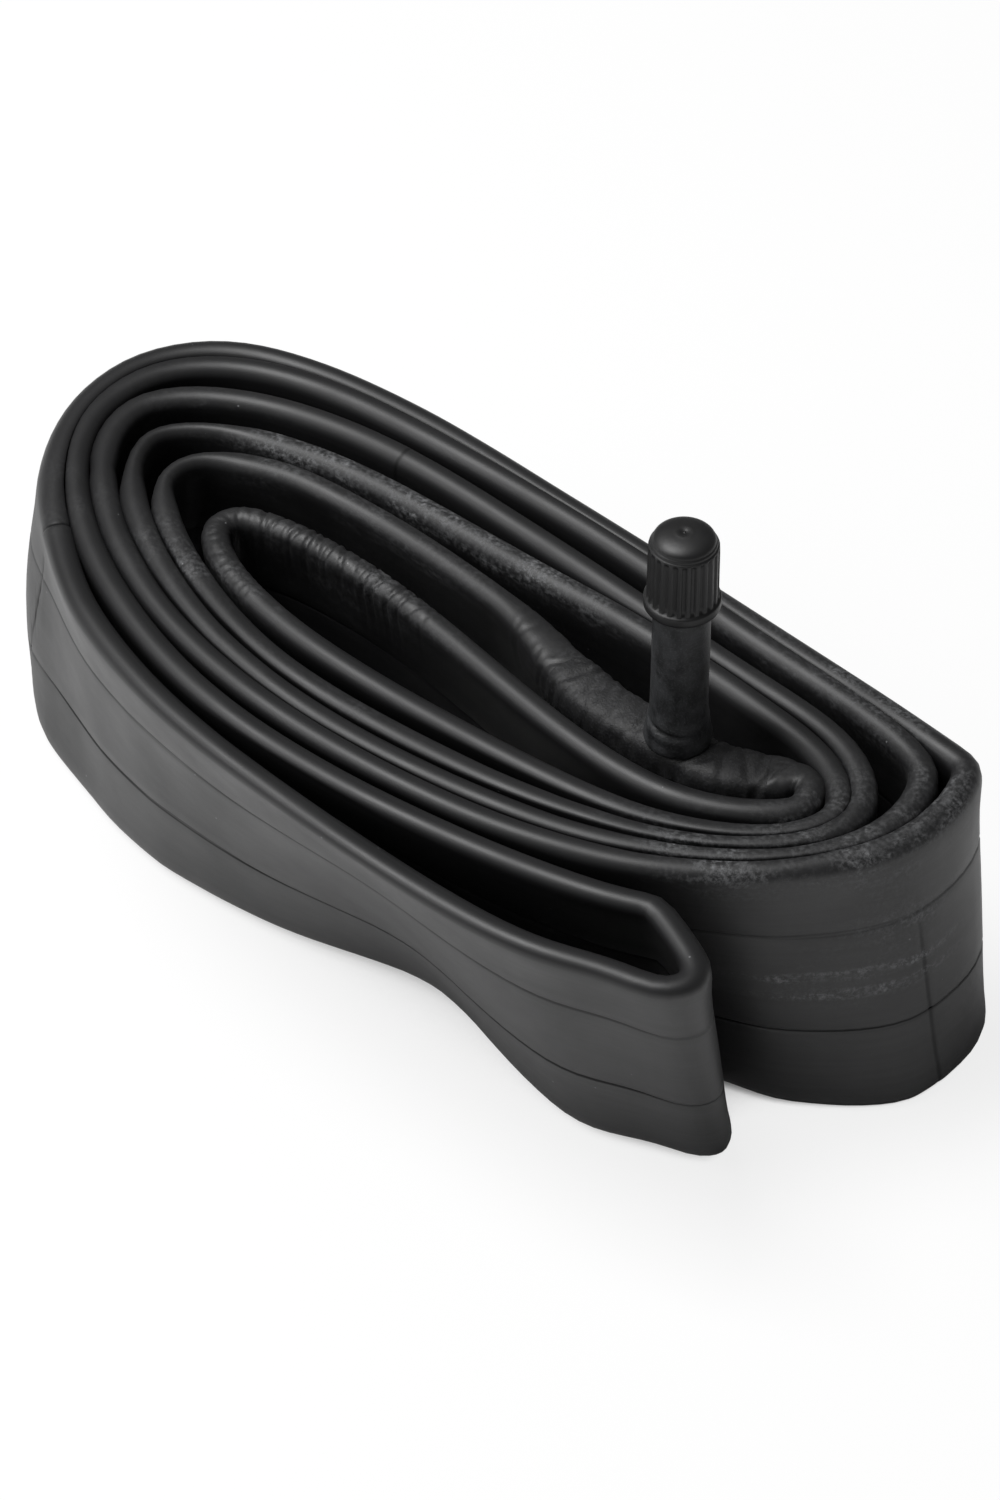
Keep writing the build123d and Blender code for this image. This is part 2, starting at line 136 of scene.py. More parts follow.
# The top edge of the tube as it lies, one closed loop from the inner fold outwards and back, mm.
tubeRun = [
    (51.8, -2.4), (50.9, -0.7), (49.3, -0.3), (46, -1.6), (42, -3.9), (38, -5.1), (32.8, -5.0),
    (27, -5.0), (22, -4.6), (17, -3.6), (12, -2), (6, 0.4), (0, 2.1), (-10, 3.8), (-20, 5),
    (-30, 5.4), (-40, 4.9), (-46, 3), (-50.5, 0.6), (-52.8, -2.8), (-52.6, -6.5), (-50.3, -9.9),
    (-46, -13.4), (-40, -17), (-30, -21.6), (-20, -24.6), (-10, -25.9), (0, -26.2), (10, -26),
    (20, -25.3), (30, -23.7), (40, -20.9), (47, -17.4), (53, -12.8), (57, -8.2), (58.5, -3.8),
    (58.1, 0.2), (55.8, 4), (51, 7.4), (45, 9.2), (40, 9.9), (30, 11), (20, 12.3), (10, 13.6),
    (0, 14.8), (-10, 15.9), (-20, 16.9), (-30, 17.4), (-40, 17), (-50, 15.1), (-57, 12.3),
    (-62, 9), (-65.2, 5), (-66, 0.3), (-64.5, -4.7), (-61, -9.9), (-55, -15.7), (-50, -19.4),
    (-40, -24.9), (-30, -28.6), (-20, -31), (-10, -32.3), (0, -32.7), (10, -32.5), (20, -31.7),
    (30, -29.8), (40, -26.6), (48, -22.3), (55, -17), (60.5, -11), (64.5, -5), (66.3, 0.2),
    (66.8, 6), (66.2, 11), (64.3, 14.5), (60, 15.4), (50, 16.9), (40, 18.1), (30, 19.2),
    (20, 20.3), (5, 21.9), (-10, 23.3), (-22.5, 24.4), (-35, 25), (-50, 24.3), (-60, 21.9),
    (-65.2, 19), (-69, 15), (-71.6, 10), (-72.4, 4.5), (-71.9, -1.3), (-70, -6.8), (-67, -12),
    (-62.5, -18), (-57.5, -23), (-52, -27.7), (-45, -32.4), (-35, -36.9), (-25, -40.1),
    (-15, -42.2), (-5, -43.6), (5, -44.8), (15, -45.7), (25, -46.2), (35, -46), (42, -45),
    (47, -43.5), (51, -42.4), (55, -41.9), (58, -40.4), (59.3, -37.7), (57.6, -35), (54, -33.1),
    (50.6, -31.4), (48.6, -30.6), (47.5, -30.5), (46.5, -31), (43, -32.3), (35, -34.2),
    (25, -35.9), (15, -37), (5, -37.6),
    (-5, -37.5), (-15, -36.7), (-25, -34.8), (-35, -31.5), (-45, -26.9), (-52, -22.7),
    (-58, -18.1), (-63.3, -13), (-67.3, -7.4), (-69.6, -1.5), (-69.9, 4), (-68.8, 9.4),
    (-65.8, 14), (-60, 18.4), (-52, 21.2), (-42, 22.5), (-30, 22.6), (-20, 22.3), (-10, 21.7),
    (0, 20.9), (10, 19.8), (20, 18.5), (30, 17), (40, 15.8), (50, 14.3), (56.5, 12.8),
    (60.1, 10.9), (62.2, 7.8), (63.2, 3), (62.8, -1.7), (61, -6.6), (57.4, -12), (52, -16.8),
    (46, -20.5), (38, -24.2), (30, -26.7), (20, -28.5), (10, -29.5), (0, -29.8), (-10, -29.3),
    (-20, -27.8), (-30, -25.2), (-40, -21), (-50, -14.9), (-56, -9.7), (-59.2, -4.8),
    (-59.7, -0.6), (-57.2, 3.4), (-50, 7.5), (-40, 10), (-30, 10.8), (-20, 10.7), (-10, 10.3),
    (0, 9.9), (10, 9.7), (20, 9.1), (30, 8.1), (40, 6.6), (45, 5.7), (50, 4.1), (54, 1.4),
    (56.2, -2), (56, -5.7), (54, -9.5), (50, -13), (45, -15.9), (38, -18.5), (30, -19.8),
    (20, -20.4), (10, -20.6), (0, -20.5), (-10, -20), (-20, -18.9), (-28, -17.1), (-35, -14.6),
    (-39.4, -11.7), (-41.1, -8.7), (-39.7, -5.9), (-36, -4.6), (-30, -4), (-20, -4.4),
    (-10, -5.8), (0, -7.9), (10, -10.2), (20, -12.2), (30, -13.3), (38, -12.9), (45, -10.6),
    (50, -7.2), (51.9, -4.7),
]

# How far the lower edge lies from the upper one, in the plan: towards +Y along the near side,
# as a share of that across the roll, outwards at the two ends, and less inside the right end.
leanAlong = [(-64, -3), (-53, 4.4), (-43, 8), (-32, 10.8), (-22.6, 12.7), (-12, 14.3), (-4, 16.2),
             (3.4, 18), (9.7, 19.1), (16, 18.7), (23.8, 16.6), (32.4, 14.1), (39, 12.6), (42, 12.5),
             (45.3, 13.2), (50, 14), (56, 15), (62, 15)]
leanAcross = [(-46, 1), (-37.5, 0.75), (-32.4, 0.71), (-29.4, 0.7), (-26, 0.67), (-20.5, 0.56),
              (-10, 0.3), (-1.4, 0.12), (9.8, 0.03), (20, 0)]
leanEnds = {"left": 5.0, "leftFrom": -38, "leftSpan": 34, "right": 5.0, "rightFrom": 38,
            "rightSpan": 28.7, "power": 1.6, "turnsIn": (-22, -36)}
leanLess = {"by": 2.6, "fromX": (44, 56), "fromY": (-30, -23), "toY": (8, -4)}
evenedOver = (-4, -2, 0, 2, 4)  # places beside this one, along the near side


def lean(x, y):
    dy = sum(interpolate(leanAlong, x + k) for k in evenedOver) / len(evenedOver)
    dy *= interpolate(leanAcross, y)
    dy -= (leanLess["by"] * smoothstep(*leanLess["fromX"], x) * smoothstep(*leanLess["fromY"], y)
           * smoothstep(*leanLess["toY"], y))
    dx = 0
    if x < leanEnds["leftFrom"]:
        share = (leanEnds["leftFrom"] - x) / leanEnds["leftSpan"]
        dx = -leanEnds["left"] * share ** leanEnds["power"]
    if x > leanEnds["rightFrom"]:
        share = (x - leanEnds["rightFrom"]) / leanEnds["rightSpan"]
        dx = leanEnds["right"] * share ** leanEnds["power"]
        dx *= 1 - 2 * smoothstep(*leanEnds["turnsIn"], y)
    return Vector((dx, dy))


def curveThrough(points, step):
    # an even walk along the smooth closed curve through the points
    fine = []
    count = len(points)
    for i in range(count):
        a, b, c, d = (Vector(points[(i + k) % count]) for k in (-1, 0, 1, 2))
        spans = [max(1e-3, (q - p).length) ** 0.5 for p, q in ((a, b), (b, c), (c, d))]
        before, here, after = spans
        inTangent = ((b - a) / before - (c - a) / (before + here) + (c - b) / here) * here
        outTangent = ((c - b) / here - (d - b) / (here + after) + (d - c) / after) * here
        pieces = max(2, round((c - b).length / step))
        for k in range(pieces):
            t = k / pieces
            fine.append((2 * t**3 - 3 * t**2 + 1) * b + (t**3 - 2 * t**2 + t) * inTangent
                        + (3 * t**2 - 2 * t**3) * c + (t**3 - t**2) * outTangent)
    return fine


def relaxed(points, rounds, shares=None):
    # evens a closed line out; shares says how much at each point
    count = len(points)
    shares = shares or [1] * count
    for _ in range(rounds):
        points = [p + ((points[i - 1] + points[(i + 1) % count]) / 2 - p) * 0.5 * shares[i]
                  for i, p in enumerate(points)]
    return points


def bendShares(points, ahead, spacing):
    # 1 on easy curves, 0 in bends tighter than about 10 mm
    count = len(points)
    shares = []
    for i in range(count):
        back, on = points[i] - points[i - ahead], points[(i + ahead) % count] - points[i]
        shares.append(smoothstep(0.13, 0.07, back.angle(on, 0) / (ahead * spacing)))
    return shares


# Where the tube was joined end to end, and two press marks that cross it the same way: plan
# place of the upper edge, how far the line has moved along by the lower edge, depth of the line,
# how far down it starts.
spliceMarks = [((-58.7, -24.1), -12.0, 0.22, -9), ((-30, 17.4), 2.0, 0.14, -9),
               ((66.1, -1.6), 3.5, 0.14, 16)]


# Where the upper edge is gathered round the inner bend: how strongly, where that sets in and
# fades along X, the Y it lies at, and how far beside that it fades.
gathers = {
    "upperLeg": (1, (-40, -34), (-4, -14), -5.2, (2.2, 1.2)),
    "lowerLeg": (0.22, (-42, -40), (-16, -26), -14, (4, 3)),
    "turn": (0.26, (-36, -38.5), (-44.5, -43), -8.6, (5, 4)),
}

# Where the edge is opened out for the valve, along the strand that carries it: x and y of its
# upper edge.
opening = {"from": (-3, 19), "to": (52, 45), "beside": (2.6, 1.8), "power": 0.8}
valveStrand = [(-10, 3.8), (0, 2.1), (6, 0.4), (12, -2), (17, -3.6), (22, -4.6), (38, -5.1),
               (46, -1.6), (50, -0.5)]

# The two middle strands are stretched thin where they turn at the left end.
thinning = {"by": 0.34, "from": (-46, -52), "to": (-62.6, -60.4), "y": -1, "beside": (11, 6)}


def gatherAt(p):
    return max(strength * smoothstep(*setsIn, p.x) * smoothstep(*fades, p.x)
               * smoothstep(*beside, abs(p.y - y))
               for strength, setsIn, fades, y, beside in gathers.values())


def openedAt(p):
    beside = abs(p.y - interpolate(valveStrand, p.x))
    return (smoothstep(*opening["from"], p.x) ** opening["power"] * smoothstep(*opening["to"], p.x)
            * smoothstep(*opening["beside"], beside))


def thinnedAt(p):
    thinned = thinning["by"] * smoothstep(*thinning["from"], p.x) * smoothstep(*thinning["to"], p.x)
    return 1 - thinned * smoothstep(*thinning["beside"], abs(p.y - thinning["y"]))


# The loose belly of the outermost strand at the left end, mm.
endBelly = {"at": (-65.5, -13), "reach": 9, "out": 2.6, "room": (1.9, 2.15)}

walk = {
    "spacing": 0.4,  # between the points of the loop, mm
    "ahead": 5,  # points either way that a direction is taken over
    "bendAhead": 9,  # the same for how tight a bend is
    "rounds": 7,  # of evening out, all along
    "easyRounds": 60,  # and then on easy curves
    "shareRounds": 12,
    "heights": (0.03, 0.5, 0.95),  # down the walls, where the room beside them is measured
    "reach": 4.4,  # how near another strand counts, mm
    "apart": 26,  # points along the loop that make it another strand
    "roomRounds": 10,
}


def placesAlong(points):
    # how far along each point lies, and the length of the whole loop
    places, along = [], 0
    for i, point in enumerate(points):
        places.append(along)
        along += (points[(i + 1) % len(points)] - point).length
    return places, along


def roomBeside(points, tangents):
    # half the way to the next strand on either side, evened out along the loop
    count = len(points)
    reach = walk["reach"]
    rooms = [[reach / 2, reach / 2] for _ in range(count)]
    for share in walk["heights"]:
        moved = [p + lean(p.x, p.y) * share for p in points]
        tree = kdtree.KDTree(count)
        for i, p in enumerate(moved):
            tree.insert((p.x, p.y, 0), i)
        tree.balance()
        for i, p in enumerate(moved):
            normal = Vector((-tangents[i].y, tangents[i].x))
            for found, j, distance in tree.find_range((p.x, p.y, 0), reach):
                apart = abs(i - j)
                if min(apart, count - apart) > walk["apart"]:
                    side = 0 if normal.dot(found.xy - p) > 0 else 1
                    rooms[i][side] = min(rooms[i][side], distance / 2)
    for _ in range(walk["roomRounds"]):
        rooms = [[min(r[k], 0.5 * r[k] + 0.25 * (rooms[i - 1][k] + rooms[(i + 1) % count][k]))
                  for k in (0, 1)] for i, r in enumerate(rooms)]
    return rooms


def stepAt(point, place, bend, marks):
    # distance to the next station: short in bends, gathers and at the splice
    step = min(tube["straightStep"], max(tube["leastStep"], tube["bendStep"] / max(bend, 1e-3)))
    if gatherAt(point) > 0.05 or openedAt(point) > 0.02:
        step = tube["gatherStep"]
    if any(abs(place - at - skew / 2) < abs(skew) / 2 + 1 for at, skew, _, _ in marks):
        step = min(step, tube["spliceStep"])
    return step


def layTube():
    # cuts the loop into stations (place, tangent, how far along, rooms beside it)
    points = relaxed(curveThrough(tubeRun, walk["spacing"]), walk["rounds"])
    easy = relaxed(bendShares(points, walk["bendAhead"], walk["spacing"]), walk["shareRounds"])
    points = relaxed(points, walk["easyRounds"], easy)
    count, ahead = len(points), walk["ahead"]
    tangents = [(points[(i + ahead) % count] - points[i - ahead]).normalized() for i in range(count)]
    places, length = placesAlong(points)
    marks = []
    for place, skew, deep, start in spliceMarks:
        nearest = min(range(count), key=lambda i: (points[i] - Vector(place)).length)
        marks.append((places[nearest], skew, deep, start))
    rooms = roomBeside(points, tangents)
    stations, due = [], 0
    for i in range(count):
        if places[i] < due:
            continue
        turn = tangents[i - ahead].angle(tangents[(i + ahead) % count], 0)
        bend = turn / (4 * ahead * walk["spacing"])
        stations.append((points[i], tangents[i], places[i], rooms[i]))
        due = places[i] + stepAt(points[i], places[i], bend, marks)
    return stations, length, marks


run, runLength, splices = layTube()
print("tube: run length", round(runLength), "mm,", len(run), "stations")

# Grooves of the gathers: way from one to the next, which is closer on the lower leg, their
# widths, depths, how far down the walls they reach (mm), how much they slant across the edge,
# and the rim beside them as a share of their depth.
pleat = {"gaps": (1.4, 2.7), "closer": 0.55, "widths": (0.2, 0.34), "depths": (0.3, 0.62),
         "reaches": (2.4, 7), "slants": (-0.5, 0.5), "rim": 0.22, "over": 6, "leastStrength": 0.08}
dice = random.Random(7)
pleats = []
last = -9
for point, _, along, _ in run:
    opened = openedAt(point)
    strength = max(gatherAt(point), 0.5 * opened)
    closer = pleat["closer"] if point.y < -7 else 1
    if strength > pleat["leastStrength"] and along - last > dice.uniform(*pleat["gaps"]) * closer:
        width = dice.uniform(*pleat["widths"]) * (1 + 0.7 * opened)
        depth = strength * dice.uniform(*pleat["depths"])
        reach = dice.uniform(*pleat["reaches"])
        slant = dice.uniform(*pleat["slants"]) * (1 + opened)
        pleats.append((along, width, depth, reach, slant))
        last = along
print("tube:", len(pleats), "grooves")


def pleatDepth(near, along, across, depth):
    # depth of the grooves here, less the low rims that stand up beside them
    deep = 0
    for place, width, amount, reach, slant in near:
        gap = along - place - slant * across
        if abs(gap) < 5 * width:
            fold = math.exp(-(gap / width) ** 2)
            fold -= pleat["rim"] * math.exp(-((abs(gap) / width - 2.2) / 1.1) ** 2)
            deep += amount * fold * math.exp(-(depth / reach) ** 2)
    return deep


# Half of the section: depth, half thickness of a folded edge as a share of the bead, then
# depth and half thickness where the edge is opened out round the valve, mm.
edge = {"turns": 9, "deep": 1.9, "openDeep": 2.3, "openHalf": 3.5}
sectionRows = []
for k in range(1, edge["turns"] + 1):
    angle = math.pi / 2 * k / edge["turns"]
    down = 1 - math.cos(angle)
    sectionRows.append((edge["deep"] * down, math.sin(angle), edge["openDeep"] * down ** 1.5,
                        edge["openHalf"] * math.sin(angle)))
sectionRows += [(2.9, 0.99, 3.5, 3.75), (4.1, 0.93, 5, 3.8), (5.6, 0.85, 6.8, 3.45),
                (7.6, 0.76, 8.8, 2.8), (10, 0.71, 10.8, 2.15)]
lineDepths = (12.4, 30.6)  # the two mould lines
grooveRows = [(-0.42, 0), (-0.2, 0.35), (0, 1), (0.2, 0.35), (0.45, 0)]  # rows across one, its shape
sectionRows += [(lineDepths[0] + off, 0.69, lineDepths[0] + off, 1.5) for off, _ in grooveRows]
sectionRows += [(d, 0.68, d, 1.22) for d in (14.4, 17.5, 21, 24.5, 28)]
sectionRows += [(lineDepths[1] + off, 0.69, lineDepths[1] + off, 1.25) for off, _ in grooveRows]
sectionRows += [(33, 0.68, 33, 1.22), (36.5, 0.7, 36.5, 1.22), (39.6, 0.75, 39.6, 1.3),
                (42, 0.83, 42, 1.45), (43.7, 0.86, 43.7, 1.5), (44.8, 0.74, 44.8, 1.3),
                (45.6, 0.46, 45.6, 0.8)]


# Slow changes along the run: how much (mm), wavelength (mm) and place in the noise field.
waves = {"lift": (0.3, 37, 7.7, 1.9), "droop": (0.7, 24, 3.1, 0.4), "belly": (0.75, 46, 9.3, 5.5),
         "line": (1.3, 30, 1.4, 8.8)}
# The wrinkles of the opened edge: depth of the fine and the coarse ones, how much of it stands
# up instead, and how far down they reach, mm.
wrinkle = {"fine": 0.3, "coarse": 0.3, "up": 0.05, "reach": 9}
# The splice and the press marks: width of the groove, and the swelling on one side of it as a
# share of its depth and by its reach, mm.
splice = {"width": 0.24, "swelling": 0.6, "reach": 2.5, "over": 8, "before": 8, "after": 4}


def wave(name, along):
    amount, span, y, z = waves[name]
    return amount * noise.noise(Vector((along / span, y, z)))


def wrinkleAt(along, across, depth, opened):
    if opened <= 0:
        return 0
    fine = Vector((along / 1.9, across / 4.5 + along / 7, depth / 6))
    coarse = Vector((along / 5, across / 5, depth / 8 + 3))
    deep = wrinkle["fine"] * abs(noise.noise(fine)) + wrinkle["coarse"] * noise.noise(coarse)
    return opened * math.exp(-(depth / wrinkle["reach"]) ** 2) * (deep - wrinkle["up"])


def spliceDepth(along, depth):
    deep = 0
    for at, skew, full, start in splices:
        gap = along - at - skew * depth / tube["width"]
        if abs(gap) < splice["over"]:
            here = full * smoothstep(start - splice["before"], start + splice["after"], depth)
            deep += here * math.exp(-(gap / splice["width"]) ** 2)
            deep -= splice["swelling"] * here * math.exp(-abs(gap) / splice["reach"]) * (gap > 0)
    return deep


def sectionPoints(place, tangent, along, rooms, outset=0.0):
    # the section at one station: list of (position in metres, depth, side) round the tube
    normal = Vector((-tangent.y, tangent.x))
    down = lean(place.x, place.y)
    fall = math.sqrt(max(1, tube["width"] ** 2 - down.length_squared)) / tube["width"]
    opened = openedAt(place)
    bead = tube["bead"] * thinnedAt(place)
    crowded = min(1, min(rooms) / 2)
    nearPleats = [p for p in pleats if abs(p[0] - along) < pleat["over"]]
    lift = wave("lift", along) - tube["openSink"] * opened
    droop = wave("droop", along) * crowded
    belly = wave("belly", along) * crowded
    wander = wave("line", along)
    apart = (place - Vector(endBelly["at"])).length / endBelly["reach"]
    loose = endBelly["out"] * math.exp(-apart**2) * smoothstep(*endBelly["room"], rooms[1])
    ring = [(1, -1)] + [(1, k) for k in range(len(sectionRows))] + [(1, 99)]
    ring += [(-1, k) for k in reversed(range(len(sectionRows)))]
    points = []
    for side, k in ring:
        if k in (-1, 99):
            depth, half = (0.0, 0.0) if k == -1 else (tube["width"], 0.0)
        else:
            closedDepth, share, openDepth, openHalf = sectionRows[k]
            depth = closedDepth + (openDepth - closedDepth) * opened
            room = rooms[0 if side == 1 else 1] - tube["clearance"]
            pressed = max(tube["least"] * share ** 0.5, share * 0.2 + room * tube["fill"])
            full = min(share * bead, pressed)
            openFull = min(openHalf, max(room, tube["openRoom"]) * tube["openFill"])
            half = full + (openFull - full) * opened
            for middle in lineDepths:
                depth += wander * math.exp(-((depth - middle) / tube["lineSpan"]) ** 2)
                for off, amount in grooveRows:
                    if abs(closedDepth - middle - off) < 0.01:
                        half -= tube["lineDeep"] * amount
        share = depth / tube["width"]
        bow = math.sin(math.pi * share)
        swing = droop * share**1.4 + belly * bow - loose * bow ** 0.8
        crease = pleatDepth(nearPleats, along, side * half, depth) + spliceDepth(along, depth)
        crease *= min(1, half / 0.5 + 0.5)
        crumple = wrinkleAt(along, side * half, depth, opened)
        flatTop = opened * smoothstep(1.5, 0.2, depth)
        beadTop = smoothstep(edge["deep"], 0, depth) * (1 - opened)
        offset = side * (half + outset - (crease + crumple) * (1 - 0.7 * flatTop) * (1 - beadTop))
        offset = offset if half > 0 else 0
        flat = place + normal * (offset + swing) + down * share + Vector(tube["shift"])
        height = tube["topHeight"] - depth * fall + lift + outset * (1 - smoothstep(0, 3, depth))
        height -= (crease + crumple * 1.1) * max(flatTop, beadTop)
        points.append((Vector((flat.x, flat.y, max(height, 0.05))) * mm, depth, side * half))
    return points


def sweepSections(name, rings, stations, length):
    # lays a grid round the sections and along the run, maps it in decimetres (along the run, and
    # down from the upper edge), then joins its seams; an open run gets a face at either end
    mesh = bpy.data.meshes.new(name)
    bm = bmesh.new()
    bm.verts.layers.float.new("talc")
    layer = bm.loops.layers.uv.new("run")
    rows = rings + [rings[0]] if length else rings
    alongs = [s[2] for s in stations] + ([length] if length else [])
    around = len(rings[0])
    bmesh.ops.create_grid(bm, x_segments=around, y_segments=len(rows) - 1, size=1)
    ordered = sorted(bm.verts, key=lambda v: (round(v.co.y, 5), v.co.x))
    grid = [ordered[i * (around + 1):(i + 1) * (around + 1)] for i in range(len(rows))]
    placeOf = {}
    for along, row, ring in zip(alongs, grid, rows):
        for k, vert in enumerate(row):
            vert.co = ring[k % around][0]
            placeOf[vert] = (along / 100, ring[k % around][1] / 100)
    for face in bm.faces:
        for corner in face.loops:
            corner[layer].uv = placeOf[corner.vert]
    seams = {row[around]: row[0] for row in grid}
    if length:
        seams.update(zip(grid[-1][:around], grid[0]))
        seams[grid[-1][around]] = grid[0][0]
        grid.pop()
    bmesh.ops.weld_verts(bm, targetmap=seams)
    loops = [row[:around] for row in grid]
    if not length:
        for loop in (loops[0], loops[-1]):
            bmesh.ops.contextual_create(bm, geom=loop)
    return mesh, bm, loops


def shown(name, mesh, bm, body, slotName, *nodes):
    # finishes a mesh and puts it in the scene in place of the CAD nodes
    bmesh.ops.recalc_face_normals(bm, faces=bm.faces)
    for face in bm.faces:
        face.smooth = True
    bm.to_mesh(mesh)
    bm.free()
    made = bpy.data.objects.new(name, mesh)
    scene.collection.objects.link(made)
    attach(made, body)
    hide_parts(*nodes)
    print(name + ":", len(mesh.polygons), "faces")
    return made


# Talc left on the tube: plan place, its spread along X and along Y, amount, how far down the
# walls, and its spread down them, mm.
talcSpots = [((-45, 9), 14, 4, 0.9, 0.5, 2.6), ((-20, 10.6), 22, 2.4, 1.3, 0.5, 2.6),
             ((5, 9.8), 18, 2, 0.6, 0.5, 2.4), ((30, 19.2), 14, 3, 0.4, 0, 4),
             ((50, 16.5), 16, 4, 0.8, 0, 6), ((64, 6), 8, 8, 0.9, 0, 4),
             ((62, -9), 12, 6, 1.0, 0, 5), ((50, -20), 14, 4, 0.8, 0, 4),
             ((-26, 5), 26, 3, 0.4, 0, 6), ((-22, -5), 18, 3.4, 0.7, 0, 8),
             ((-36, -16), 12, 5, 0.7, 0, 4), ((-12, -25.8), 14, 2, 0.4, 0, 4),
             ((30, -4), 22, 5, 0.5, 0, 6), ((60, -12), 14, 7, 2.6, 21.5, 4),
             ((66, -2), 5, 8, 2.2, 18, 6), ((25, -31), 18, 4, 0.35, 15, 8),
             ((-38, -35), 16, 5, 0.8, 19, 5), ((10, -45), 26, 4, 0.3, 26, 14),
             ((-63, -17), 8, 8, 0.4, 8, 8)]
mostTalc, leastTalc = 2.6, 0.02


def talcNear(point):
    # the spots that reach a station: amount there, how far down, spread down the wall
    near = []
    for (x, y), spreadX, spreadY, amount, middle, spread in talcSpots:
        share = math.exp(-((point.x - x) / spreadX) ** 2 - ((point.y - y) / spreadY) ** 2)
        if share > leastTalc:
            near.append((amount * share, middle, spread))
    return near


rings = [sectionPoints(*station) for station in run]
tubeMesh, bm, tubeLoops = sweepSections("tubeBody", rings, run, runLength)
talc = bm.verts.layers.float["talc"]
for (point, _, _, _), loop, ring in zip(run, tubeLoops, rings):
    near = talcNear(point)
    for vert, (_, depth, _) in zip(loop, ring):
        total = sum(amount * math.exp(-((depth - middle) / spread) ** 2)
                    for amount, middle, spread in near)
        vert[talc] = min(mostTalc, total)
shown("tubeRubber", tubeMesh, bm, "tube", "butyl", "tube_body")

# The reinforcing patch, vulcanised onto the opened edge under the valve, mm.
patch = {"from": 12.5, "to": 45.8, "reach": 7.5, "stands": 0.32, "sunk": 0.12, "endTaper": 3.5,
         "sideTaper": 1.5, "strandY": -3.6, "strandSpan": 3.4}
strip = [s for s in run if patch["from"] < s[0].x < patch["to"]
         and abs(s[0].y - patch["strandY"]) < patch["strandSpan"]]
patchRings = []
for station in strip:
    top = sectionPoints(*station, outset=patch["stands"])
    under = sectionPoints(*station, outset=-patch["sunk"])
    count = len(top)
    kept = [k % count for k in range(-count // 2 + 1, count // 2) if top[k % count][1] < patch["reach"]]
    ends = min(station[0].x - patch["from"], patch["to"] - station[0].x) / patch["endTaper"]
    outer = []
    for k in kept:
        share = max(0.02, min(ends, (patch["reach"] - top[k][1]) / patch["sideTaper"], 1)) ** 0.6
        outer.append((under[k][0] + (top[k][0] - under[k][0]) * share, top[k][1]))
    patchRings.append(outer + [under[k] for k in reversed(kept)])
assert len(set(map(len, patchRings))) == 1, "patch rings differ"
patchMesh, bm, _ = sweepSections("patchRubber", patchRings, strip, 0)
patchObject = shown("valvePatch", patchMesh, bm, "tube", "patch_rubber", "valve_pad")

# the plan place of the valve's axis, mm
valveAt = (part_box("stem_insert")[0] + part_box("stem_insert")[1]) / 2
valveAt = Vector((valveAt.x / mm, valveAt.y / mm))


def lathed(name, profile, steps, shape=None, closedProfile=False):
    # spins (radius, height) points in mm about the valve's axis; shape changes each of them
    mesh = bpy.data.meshes.new(name)
    bm = bmesh.new()
    verts = [bm.verts.new((r, 0, z)) for r, z in profile]
    edges = [bm.edges.new(pair) for pair in zip(verts, verts[1:])]
    if closedProfile:
        edges.append(bm.edges.new((verts[-1], verts[0])))
    bmesh.ops.spin(bm, geom=verts + edges, cent=(0, 0, 0), axis=(0, 0, 1), angle=math.tau,
                   steps=steps, use_merge=True)
    bmesh.ops.remove_doubles(bm, verts=bm.verts, dist=1e-5)
    for vert in bm.verts:
        radius, angle = math.hypot(vert.co.x, vert.co.y), math.atan2(vert.co.y, vert.co.x)
        height = vert.co.z
        if shape and radius > 1e-4:
            radius, height = shape(radius, angle, height)
        x, y = valveAt.x + radius * math.cos(angle), valveAt.y + radius * math.sin(angle)
        vert.co = Vector((x, y, height)) * mm
    return mesh, bm


# The moulded rubber jacket: straight stem, soft lip at the top, a foot pressed into the patch
# with a fold on its near side.
jacket = {"foldFacing": math.radians(-86), "foldHeight": 49.4, "foldRise": 0.55, "foldDeep": 0.42,
          "foldHalf": 0.22, "foldSpan": 0.75, "lip": 0.26, "lipBelow": 0.95, "lipHalf": 0.7,
          "wobble": 0.05, "waist": 0.2, "waistFrom": (49.5, 51.5), "seam": 0.045, "seamHalf": 0.05,
          "seamFacing": 0.6, "seamFrom": (50, 52), "bore": 3.3, "footTop": 45.4, "widest": 4.97,
          "steps": 96}
jacketProfile = [
    (0, 45.2), (2, 45.2), (3.5, 45.25), (4.1, 45.4), (4.36, 45.75), (4.46, 46.2), (4.46, 46.7),
    (4.4, 47.1), (4.33, 47.5), (4.26, 47.9), (4.2, 48.3), (4.15, 48.7), (4.1, 49.1), (4.07, 49.4),
    (4.05, 49.65), (4.03, 49.9), (4.01, 50.2), (3.99, 50.6), (3.97, 51.2), (3.94, 52), (3.91, 53),
    (3.9, 54.5), (3.89, 56), (3.89, 58), (3.89, 60), (3.89, 62), (3.89, 64), (3.88, 66),
    (3.88, 67.4), (3.88, 68.3), (3.86, 68.75), (3.82, 69), (3.74, 69.14), (3.62, 69.22),
    (3.5, 69.25), (3.2, 69.25), (3.13, 69.15), (3.13, 62), (3.13, 48.5), (0, 48.5),
]


def turnFrom(angle, facing):
    # how far round from a direction, -pi to pi
    return (angle - facing + math.pi) % math.tau - math.pi


